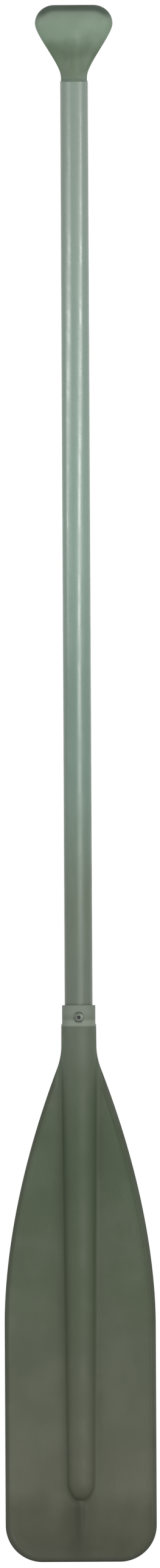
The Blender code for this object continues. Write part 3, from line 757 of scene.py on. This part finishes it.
def blade_quarter():
    """A grid whose rows are the sections, from the middle of the tip up to the floor of the bore."""
    rows = [section(spoke, spine_radius(spoke[2])) for spoke in spokes()]
    lean = atan2(*fillet_centre(spine_root))
    rows += [ring_section(radius, height, lean) for radius, height in socket_rings()]
    bm = bmesh.new()
    layers = [bm.verts.layers.float.new(name) for name in ("rim", "crease")]
    across, up = len(rows[0]) - 1, len(rows) - 1
    bmesh.ops.create_grid(bm, x_segments=across, y_segments=up, size=0.5)
    for vert in bm.verts:
        column = round((vert.co.x + 0.5) * across)
        row = round((vert.co.y + 0.5) * up)
        place, height, *wear = rows[row][column]
        vert.co = (place.x, -height, place.y)
        for layer, value in zip(layers, wear):
            vert[layer] = value
    return bm


def mirror_both_ways(bm):
    """Mirrors a quarter to the left and to the back, and closes the seams."""
    for axis in ("X", "Y"):
        bmesh.ops.mirror(bm, geom=bm.verts[:] + bm.edges[:] + bm.faces[:], axis=axis, merge_dist=MERGE)
    bmesh.ops.remove_doubles(bm, verts=bm.verts, dist=MERGE)
    bmesh.ops.dissolve_degenerate(bm, dist=MERGE / 10, edges=bm.edges)
    bmesh.ops.recalc_face_normals(bm, faces=bm.faces)


def open_edges(bm):
    """How many edges don't join exactly two faces. A closed skin has none."""
    return sum(not edge.is_manifold for edge in bm.edges)


bm = blade_quarter()
mirror_both_ways(bm)
print("blade:", len(bm.faces), "faces,", open_edges(bm), "open edges")

# %% Turn the skin into a piece of the paddle
SHARP = radians(50)


def shade(mesh):
    """Shades a mesh smooth, but for its sharp edges."""
    mesh.shade_smooth()
    mesh.set_sharp_from_angle(angle=SHARP)


def add_piece(name, bm, finish, slot, *nodes):
    """Makes a piece from a finished bmesh. It moves with the paddle and stands for these CAD nodes."""
    piece = in_scene(name, mesh_from(bm, name))
    shade(piece.data)
    piece.data.materials.append(finish.material)
    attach(piece, body)
    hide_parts(*nodes)
    print("piece:", name, len(piece.data.polygons), "faces")
    return piece


blade = add_piece("blade_moulding", bm, olive, "blade_plastic", "blade")

# %% [markdown]
# Each rivet's head needs a flat to sit on. The collar is round there, so a short step is sunk into it on
# both sides, with a hole in its middle for the rivet's shank. Cutting with a turned tool is the way a
# machinist would make it, and here it is a Boolean modifier whose result becomes the blade's mesh.

# %% Sink the rivets' seats into the collar
rivet_low, rivet_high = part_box("blade_rivet_front")
rivet_height = (rivet_low.z + rivet_high.z) / 2
HEAD_RADIUS, SHANK_RADIUS = 4.75 * MM, 2.4 * MM
SEAT_MARGIN, SEAT_DEPTH = 1.0 * MM, 0.9 * MM
TOOL_OUTSIDE, TOOL_INSIDE = 4 * MM, 2 * MM  # how far the tool reaches past the wall, out and in
seat_place = collar_radius - SEAT_DEPTH


def spun(profile, steps):
    """Spins a chain of (radius, height) points about Z and closes its seam."""
    bm = bmesh.new()
    chain = [bm.verts.new((radius, 0.0, height)) for radius, height in profile]
    edges = [bm.edges.new(pair) for pair in zip(chain, chain[1:])]
    bmesh.ops.spin(
        bm, geom=chain + edges, cent=(0, 0, 0), axis=(0, 0, 1), angle=2 * pi, steps=steps, use_merge=True
    )
    bmesh.ops.remove_doubles(bm, verts=bm.verts, dist=MERGE)
    bmesh.ops.recalc_face_normals(bm, faces=bm.faces)
    return bm


def lay_across(bm, height, way):
    """Lays what was spun about Z along Y, out of the front (-1) or the back (1) of the paddle."""
    turn = Matrix.Rotation(-way * pi / 2, 4, "X")
    bmesh.ops.transform(bm, matrix=Matrix.Translation((0, 0, height)) @ turn, verts=bm.verts)
    return bm


def cut_seat(piece, way):
    """Cuts a seat and the shank's hole into the front (-1) or the back (1) of the collar."""
    hole, seat = SHANK_RADIUS + GAP, HEAD_RADIUS + SEAT_MARGIN
    past, inner = collar_radius + TOOL_OUTSIDE, bore_radius - TOOL_INSIDE
    profile = [(0, past), (seat, past), (seat, seat_place), (hole, seat_place), (hole, inner), (0, inner)]
    bm = lay_across(spun(profile, steps=64), rivet_height, way)
    tool = in_scene("seat tool", mesh_from(bm, "seat tool"))
    step = piece.modifiers.new("Seat", "BOOLEAN")
    step.operation, step.solver, step.object = "DIFFERENCE", "EXACT", tool
    graph = bpy.context.evaluated_depsgraph_get()
    cut = bpy.data.meshes.new_from_object(piece.evaluated_get(graph), depsgraph=graph)
    piece.modifiers.clear()
    piece.data = cut
    cut.name = piece.name
    shade(cut)
    bpy.data.objects.remove(tool)


for way in (-1, 1):
    cut_seat(blade, way)
print("blade with seats:", len(blade.data.polygons), "faces")

# %% [markdown]
# ## Sleeve
#
# The tube wears a thin vinyl sleeve, drawn over it like a stocking. Vinyl tubing keeps the fine lines of
# the die that it came out of, all along its length, and it is glossier than the mouldings. Its sage green
# is painted darker towards the socket, as painted shade where the light falls off down the paddle, and the
# vinyl is duller there, where river water leaves its film. A plain cylinder has neither a wall nor lips, so
# the wall's outline is drawn once and spun round the tube.

# %% Sleeve vinyl: sage, with the lines of its die
FILM = (0.60, 0.90, 0.12, 0.0)  # a dull film: between these heights it falls from this much roughness to none

vinyl = Finish("Sage sleeve vinyl", roughness=0.28, specular=0.6)
# Painted shade: the colour grows darker towards the socket, where the light falls off.
sleeve_colour = vinyl.along(
    vinyl.wandering(vinyl.z, scale=12.0, reach=20 * MM),
    (0.545, 84, 94, 80),
    (0.640, 85, 98, 82),
    (0.800, 103, 125, 112),
    (1.000, 121, 143, 131),
    (1.449, 125, 140, 128),
)
skin = vinyl.effect(satin, grain_scale=900.0, cloud_scale=40.0)
lines = vinyl.effect(scratches, across=1500.0, along=4.0, share=0.50)["Mask"]
marks = vinyl.effect(scratches, across=1100.0, along=70.0, turn=0.5, share=0.22)["Mask"]
vinyl.colour(
    sleeve_colour,
    (skin["Clouds"], 0.08, 98, 110, 98),
    (lines, 0.06, 180, 190, 182),
    (marks, 0.10, 84, 94, 84),
)
polish = vinyl.soft(skin["Clouds"], 0.0, 1.0, 0.24, 0.32)
vinyl.surface({"Roughness": vinyl.maths("ADD", polish, vinyl.soft(vinyl.z, *FILM))})
vinyl.bump((skin["Clouds"], 0.06 * MM), (lines, 0.012 * MM), (marks, -0.01 * MM))

# %% Spin the sleeve, with soft lips at both ends
sleeve_low, sleeve_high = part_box("shaft_sleeve")
LIP = 0.2 * MM
SNUG = 0.25 * MM  # soft vinyl closes the gaps to the grip and to the socket


def tube_points(outer, inner, low, high, rounding):
    """A wall's (radius, height) points, down the outside and up the inside, with rounded corners."""
    points = []
    centres = [
        (outer - rounding, high - rounding, 90), (outer - rounding, low + rounding, 0),
        (inner + rounding, low + rounding, -90), (inner + rounding, high - rounding, -180),
    ]
    for radius, height, start in centres:
        for angle in (start, start - 30, start - 60, start - 90):
            turn = radians(angle)
            points.append((radius + rounding * cos(turn), height + rounding * sin(turn)))
    return points + [points[0]]


wall = tube_points(sleeve_high.x, tube_high.x + GAP, sleeve_low.z - SNUG, sleeve_high.z + SNUG, LIP)
add_piece("vinyl_sleeve", spun(wall, steps=128), vinyl, "sleeve_vinyl", "shaft_sleeve")

# %% [markdown]
# ## Grip
#
# The grip is a moulding with a flat top for the palm, two wings for the fingers and a stem that narrows to
# the tube. It could be sculpted, but a shape that is symmetric both ways is easier to steer as a stack of
# rings. It starts as one circle. Each step extrudes the open rim and moves the new points to the next ring.

# %% Grip plastic: a greyer sage, darker on the stem, with painted shade on the rim of its top
sage = Finish("Sage grip plastic", roughness=0.5, specular=0.35)
grip_colour = sage.along(
    sage.wandering(sage.z, scale=42.0, reach=4 * MM),
    (1.449, 110, 126, 112),
    (1.460, 94, 108, 89),
    (1.476, 80, 97, 76),
    (1.500, 112, 131, 112),
    (1.524, 121, 135, 121),
)
skin = sage.effect(satin, grain_scale=1700.0, cloud_scale=45.0)
marks = sage.effect(scratches, across=1200.0, along=120.0, turn=0.9, share=0.22)["Mask"]
sage.colour(
    grip_colour,
    (skin["Clouds"], 0.10, 82, 98, 80),
    (marks, 0.10, 70, 80, 68),
    # painted shade along the rounding of the top, where it turns away from the light
    (sage.attribute("rim"), 0.78, 56, 70, 57),
)
sage.rough(skin["Clouds"], 0.50, 0.62)
seam = sage.effect(parting)
sage.bump((skin["Height"], 0.05 * MM), (marks, -0.02 * MM), (seam["Height"], 0.12 * MM))

# %% The grip's sizes
grip_low, grip_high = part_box("grip")
WIDEST_DROP, THICKEST_DROP = 18 * MM, 14 * MM  # drops are lengths below the top
WAIST_DROP, NECK_DROP = 45 * MM, 72 * MM
TOP_HALF = (19 * MM, 5 * MM)  # half the flat on top
WAIST = 8.25 * MM  # half the depth of the scooped flanks
WING_HANDLE, NECK_HANDLE = 12 * MM, 14 * MM  # how long the outline keeps upright at its two ends
SQUARENESS = 2.5  # 2 is an ellipse seen from above
STEM_BLEND = 2.5 * MM
NECK_LESS, FOOT_MORE = 0.3 * MM, 0.5 * MM  # the neck is this much slimmer than the tube, the foot wider
grip_foot = tube_high.z + GAP
neck_radius = tube_high.x - NECK_LESS
foot_radius = tube_high.x + FOOT_MORE
print("the grip stands", round(grip_high.z - grip_foot, 4), "m above the tube")

# %% The grip's rings
GRIP_POINTS = 96
CROWN_RINGS, WING_RINGS = 16, 36
FOOT_EDGE, FOOT_CHAMFER = 0.5 * MM, 0.15 * MM


def quarter_ellipse(drop, full_drop, small, large):
    """A length that grows from small to large along a quarter of an ellipse."""
    left = 1.0 - min(drop / full_drop, 1.0)
    return small + (large - small) * sqrt(1.0 - left * left)


def wing(share):
    """(half width, drop) on the curve from the widest place to the neck."""
    points = [(grip_high.x, WIDEST_DROP), (grip_high.x, WIDEST_DROP + WING_HANDLE)]
    points += [(neck_radius, NECK_DROP - NECK_HANDLE), (neck_radius, NECK_DROP)]
    left = 1.0 - share
    weights = (left**3, 3 * share * left**2, 3 * share**2 * left, share**3)
    return sum((Vector(point) * weight for point, weight in zip(points, weights)), Vector((0.0, 0.0)))


def wing_depth(drop):
    """Half the depth of the wings: thick under the palm, scooped beside the stem."""
    if drop <= THICKEST_DROP:
        return quarter_ellipse(drop, THICKEST_DROP, TOP_HALF[1], grip_high.y)
    return WAIST + (grip_high.y - WAIST) * fade(drop, THICKEST_DROP, WAIST_DROP - THICKEST_DROP)


def grip_ring(half, drop, stem):
    """A ring of flat wings of this half width, softly joined to a round stem."""
    depth = min(wing_depth(drop), half)
    ring = []
    for i in range(GRIP_POINTS):
        turn = 2 * pi * i / GRIP_POINTS
        turn = atan2(depth * sin(turn), half * cos(turn))
        wide, deep = abs(cos(turn)) / half, abs(sin(turn)) / depth
        reach = (wide**SQUARENESS + deep**SQUARENESS) ** (-1 / SQUARENESS)
        if stem:
            reach = soft_larger(reach, stem, STEM_BLEND)
        ring.append(Vector((reach * cos(turn), reach * sin(turn), grip_high.z - drop)))
    return ring


def round_ring(radius, height):
    """A round ring with as many points as the others."""
    turns = [2 * pi * i / GRIP_POINTS for i in range(GRIP_POINTS)]
    return [Vector((radius * cos(turn), radius * sin(turn), height)) for turn in turns]


def grip_rings():
    """Rings from the flat top down the crown, the wings and the stem to the foot."""
    rings = []
    for i in range(CROWN_RINGS):
        drop = WIDEST_DROP * (1.0 - cos(pi / 2 * i / CROWN_RINGS))
        rings.append(grip_ring(quarter_ellipse(drop, WIDEST_DROP, TOP_HALF[0], grip_high.x), drop, 0))
    for i in range(WING_RINGS + 1):
        half, drop = wing(i / WING_RINGS)
        rings.append(grip_ring(half, drop, neck_radius - STEM_BLEND / 4))
    flare = grip_high.z - NECK_DROP - grip_foot
    foot = [((neck_radius + foot_radius) / 2, grip_foot + flare / 3), (foot_radius, grip_foot + FOOT_EDGE)]
    foot += [(foot_radius, grip_foot + FOOT_CHAMFER), (foot_radius - FOOT_CHAMFER, grip_foot)]
    return rings + [round_ring(radius, height) for radius, height in foot]


print(len(grip_rings()), "rings down to the foot")

# %% The spigot that holds the grip in the tube
TUBE_WALL = 1.2 * MM
SPIGOT_CHAMFER = 1.2 * MM
GROOVES = 3
GROOVE_HALF, GROOVE_DEPTH = 1.25 * MM, 0.5 * MM
spigot_radius = tube_high.x - TUBE_WALL - GAP


def spigot_rings():
    """Rings from the grip's foot down the spigot and its grooves."""
    length = grip_foot - grip_low.z
    wide, narrow = spigot_radius, spigot_radius - GROOVE_DEPTH
    rings = [(wide, grip_foot)]
    for i in range(GROOVES):
        middle = grip_foot - length / (GROOVES + 1) * (i + 1)
        rings += [(wide, middle + GROOVE_HALF), (narrow, middle + GROOVE_HALF - GROOVE_DEPTH)]
        rings += [(narrow, middle - GROOVE_HALF + GROOVE_DEPTH), (wide, middle - GROOVE_HALF)]
    rings += [(wide, grip_low.z + SPIGOT_CHAMFER), (wide - SPIGOT_CHAMFER, grip_low.z)]
    return [round_ring(radius, height) for radius, height in rings]


print(len(spigot_rings()), "rings on the spigot")

# %% Stack the rings and mark the painted shade
UNSHADED_TOP = 0.6 * MM  # the flat top has no painted shade, which starts within this drop
SHADE_INSET = (4 * MM, 4.5 * MM)  # it fades inwards from the outline: start and length
SHADE_DROP = (7 * MM, 8 * MM)  # and downwards


def stacked(rings):
    """Starts from a circle on the first ring and extrudes its rim from ring to ring. Both ends are capped."""
    bm = bmesh.new()
    bmesh.ops.create_circle(bm, segments=len(rings[0]), radius=1.0)
    rim = sorted(bm.verts, key=lambda vert: atan2(vert.co.y, vert.co.x) % (2 * pi))
    first, edges = rim, bm.edges[:]
    for vert, place in zip(rim, rings[0]):
        vert.co = place
    for ring in rings[1:]:
        grown = bmesh.ops.extrude_edge_only(bm, edges=edges)["geom"]
        above = {vert: i for i, vert in enumerate(rim)}
        rim = [part for part in grown if isinstance(part, bmesh.types.BMVert)]
        rim.sort(key=lambda vert: next(
            above[edge.other_vert(vert)] for edge in vert.link_edges if edge.other_vert(vert) in above
        ))
        edges = [part for part in grown if isinstance(part, bmesh.types.BMEdge) and part.is_boundary]
        for vert, place in zip(rim, ring):
            vert.co = place
    bmesh.ops.contextual_create(bm, geom=first)
    bmesh.ops.contextual_create(bm, geom=rim)
    bmesh.ops.recalc_face_normals(bm, faces=bm.faces)
    return bm


def rim_shade(place):
    """How much painted shade goes at this place: most along the rounding of the top, none on the flat."""
    drop = grip_high.z - place.z
    aside = max(abs(place.x) - TOP_HALF[0], 0.0) / (grip_high.x - TOP_HALF[0])
    inset = (1.0 - hypot(aside, 1.0 - min(drop / WIDEST_DROP, 1.0))) * WIDEST_DROP
    return (1.0 - fade(drop, 0.0, UNSHADED_TOP)) * fade(inset, *SHADE_INSET) * fade(drop, *SHADE_DROP)


bm = stacked(grip_rings() + spigot_rings())
layer = bm.verts.layers.float.new("rim")
for vert in bm.verts:
    vert[layer] = rim_shade(vert.co)
print("grip:", open_edges(bm), "open edges")
add_piece("grip_moulding", bm, sage, "grip_plastic", "grip")

# %% [markdown]
# ## Metal and foam
#
# The rivets are dark anodised aluminium, and the pin that drew each of them up is steel. The tube is brushed
# along its length, and the plugs in it are closed-cell foam. Little of them shows, but a part can be taken
# apart or cut open, so each has its own finish, made from the same effects as the plastics.

# %% Rivet aluminium: dark and softly brushed
rivet_metal = Finish("Dark rivet aluminium", roughness=0.42, metallic=1.0)
skin = rivet_metal.effect(satin, grain_scale=3000.0, cloud_scale=420.0)
rivet_metal.colour(rivet_metal.mixed(skin["Clouds"], seen(76, 82, 74), seen(96, 102, 94)))
rivet_metal.rough(skin["Clouds"], 0.40, 0.55)
rivet_metal.bump((skin["Height"], 0.03 * MM))

# %% Pin steel: grey, with a torn end
pin_steel = Finish("Pin steel", roughness=0.4, metallic=1.0)
skin = pin_steel.effect(satin, grain_scale=2600.0, cloud_scale=900.0)
pin_steel.colour(pin_steel.mixed(skin["Clouds"], seen(34, 34, 35), seen(62, 62, 64)))
pin_steel.rough(skin["Clouds"], 0.32, 0.55)
pin_steel.bump((skin["Clouds"], 0.12 * MM))

# %% Tube aluminium: drawn along its length
tube_metal = Finish("Drawn tube aluminium", roughness=0.32, metallic=1.0)
skin = tube_metal.effect(satin, grain_scale=1200.0, cloud_scale=30.0)
lines = tube_metal.effect(scratches, across=1800.0, along=3.0, share=0.60)["Mask"]
tube_metal.colour(tube_metal.mixed(lines, seen(196, 197, 199), seen(176, 177, 180)))
tube_metal.rough(skin["Clouds"], 0.26, 0.38)
tube_metal.bump((lines, 0.02 * MM))

# %% Plug foam: closed cells
CELL_SCALE, CELL_WALL = 900.0, 0.6

foam = Finish("Closed-cell foam", roughness=0.9, specular=0.2)
cells = foam.add("ShaderNodeTexVoronoi", {"Vector": foam.place, "Scale": CELL_SCALE}, feature="F1")
hollow = foam.soft(cells.outputs["Distance"], 0.0, CELL_WALL)
foam.colour(foam.mixed(hollow, seen(228, 228, 222), seen(206, 206, 198)))
foam.bump((hollow, 0.25 * MM))

# %% [markdown]
# ## Rivets
#
# A blind rivet shows a low dome with a narrow flat rim, and in its middle a hole with the broken end of the
# steel pin. Behind the wall its shank swells to a bulb. All of it is round, so each rivet is one profile that
# is spun and laid across the paddle. The pins stay CAD nodes.

# %% Spin the two rivets of the blade
PIN_RADIUS = 1.3 * MM
HEAD_RISE, RIM_SHARE = 1.5 * MM, 0.35  # the flat rim is this share of the head's rise
DOME_START, DOME_END = radians(14), radians(84)
BULB_RADIUS, BULB_LENGTH = 3.6 * MM, 3.5 * MM
HOLE_OUT, HOLE_DROP, HOLE_DEPTH = 0.12 * MM, 0.06 * MM, 0.25 * MM  # soften the mouth of the pin's hole
RIM_IN, RIM_DROP, UNDER_CHAMFER = 0.03 * MM, 0.12 * MM, 0.15 * MM  # soften the rim, above and below
BULB_CHAMFER, END_IN, END_DROP = 0.2 * MM, 0.3 * MM, 0.4 * MM  # soften the bulb, at its top and at its end


def blade_rivet_points():
    """Down the outside from the mouth of the pin's hole, and up the hole."""
    hole, shank, bulb, head = PIN_RADIUS + GAP, SHANK_RADIUS, BULB_RADIUS, HEAD_RADIUS
    under, swell = seat_place + GAP, bulb - shank
    bulb_top = sqrt((tube_high.x - TUBE_WALL) ** 2 - bulb**2) - GAP
    bulb_end = bulb_top - BULB_LENGTH
    rim_rise = RIM_SHARE * HEAD_RISE
    points = [(hole, under + HEAD_RISE - HOLE_DEPTH), (hole + HOLE_OUT, under + HEAD_RISE - HOLE_DROP)]
    for turn in even_steps(DOME_START, DOME_END, 10):
        out_by = hole + (head - hole) * sin(turn)
        points.append((out_by, under + rim_rise + (HEAD_RISE - rim_rise) * cos(turn)))
    points += [(head - RIM_IN, under + rim_rise), (head, under + rim_rise - RIM_DROP)]
    points += [(head, under + UNDER_CHAMFER), (head - UNDER_CHAMFER, under)]
    points += [(shank, under), (shank, bulb_top)]
    points += [(bulb - BULB_CHAMFER, bulb_top - swell + BULB_CHAMFER), (bulb, bulb_top - swell)]
    points += [(bulb, bulb_end + swell), (bulb - END_IN, bulb_end + swell - END_DROP)]
    points += [(shank, bulb_end), (hole, bulb_end)]
    return points + [points[0]]


for node, way in (("blade_rivet_front", -1), ("blade_rivet_back", 1)):
    bm = lay_across(spun(blade_rivet_points(), steps=72), rivet_height, way)
    add_piece(f"{node}_head", bm, rivet_metal, "rivet_aluminium", node)

# %% Give the nodes that stay their finishes
kept = {
    "grip_rivet": rivet_metal,
    "blade_rivet_front_pin": pin_steel,
    "blade_rivet_back_pin": pin_steel,
    "grip_rivet_pin": pin_steel,
    "shaft_tube": tube_metal,
    "upper_plug": foam,
    "lower_plug": foam,
}
for node, finish in kept.items():
    for holder in frame["nodes"][node].material_slots:
        holder.material = finish.material
print("CAD nodes with a new finish:", len(kept))

# %% [markdown]
# ## The paddle's size
#
# The paddle in this scene should be as large as the CAD model. The last line prints by how much each side
# of the scene's box lies past the CAD model's box, in millimetres.

# %% Print how far the box has grown
new_low, new_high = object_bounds()
grown = [round((new - cad) / MM, 2) for new, cad in zip((*new_low, *new_high), (*cad_low, *cad_high))]
print("grown by, in mm:", grown)
